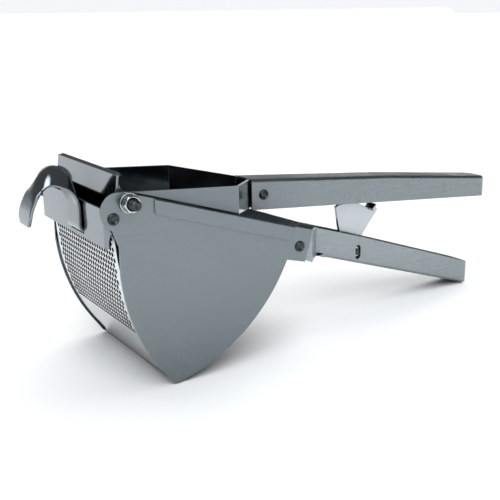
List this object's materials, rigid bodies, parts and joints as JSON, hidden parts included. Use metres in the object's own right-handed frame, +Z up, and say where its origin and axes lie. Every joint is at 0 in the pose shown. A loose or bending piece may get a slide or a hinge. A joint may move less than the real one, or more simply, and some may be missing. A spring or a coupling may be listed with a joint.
{
  "type": "potato ricer",
  "caption": "Wedge-shaped stainless potato ricer: perforated front wall, hinged pressing plunger, two channel handles, latch lever and pot hook.",
  "frame": {"origin": "middle of the base: below the middle of the whole object, on the plane that the hopper crease and the lower handle end stand on", "axes": "+X from the hopper towards the handle ends, +Y across the width towards the left side, +Z up"},
  "size_m": [0.3052, 0.106, 0.1073],
  "materials": {
    "satin_sheet": "finely brushed stainless sheet, satin",
    "polished_sheet": "bright polished stainless sheet",
    "perforated_sheet": "bright punched stainless sheet",
    "handle_sheet": "brushed stainless channel with handling marks",
    "bright_hardware": "bright turned and pressed hardware",
    "rivet_steel": "dull dark rivet and bolt steel"
  },
  "bodies": {
    "hopper": {"hopper_side_left": "satin_sheet", "hopper_side_right": "satin_sheet", "hopper_rear_wall": "satin_sheet", "perforated_wall": "perforated_sheet", "front_bracket": "polished_sheet", "pot_hook": "polished_sheet", "lower_handle": "handle_sheet", "hinge_nut_left": "bright_hardware", "hinge_nut_right": "bright_hardware", "hinge_washer_left": "bright_hardware", "hinge_washer_right": "bright_hardware", "hinge_bush_left": "bright_hardware", "hinge_bush_right": "bright_hardware", "latch_spacer_left": "bright_hardware", "latch_spacer_right": "bright_hardware", "hinge_bolt_left": "rivet_steel", "hinge_bolt_right": "rivet_steel", "bracket_rivet_left": "rivet_steel", "bracket_rivet_right": "rivet_steel", "lower_handle_rivet_left": "rivet_steel", "lower_handle_rivet_right": "rivet_steel", "latch_pin": "rivet_steel"},
    "plunger": {"pressing_plate": "polished_sheet", "plunger_side_left": "polished_sheet", "plunger_side_right": "polished_sheet", "upper_handle": "handle_sheet", "upper_handle_rivet_left": "rivet_steel", "upper_handle_rivet_right": "rivet_steel"},
    "latch": {"latch_lever": "polished_sheet"}
  },
  "joints": [
    {"name": "plunger_hinge", "type": "hinge", "parent": "hopper", "child": "plunger", "pos_m": [-0.115, 0, 0.09331], "axis": [0, -1, 0], "range_deg": [-4.8, 55]},
    {"name": "latch_pivot", "type": "hinge", "parent": "hopper", "child": "latch", "pos_m": [0.0463, 0, 0.03592], "axis": [0, 1, 0], "range_deg": [0, 60]}
  ]
}
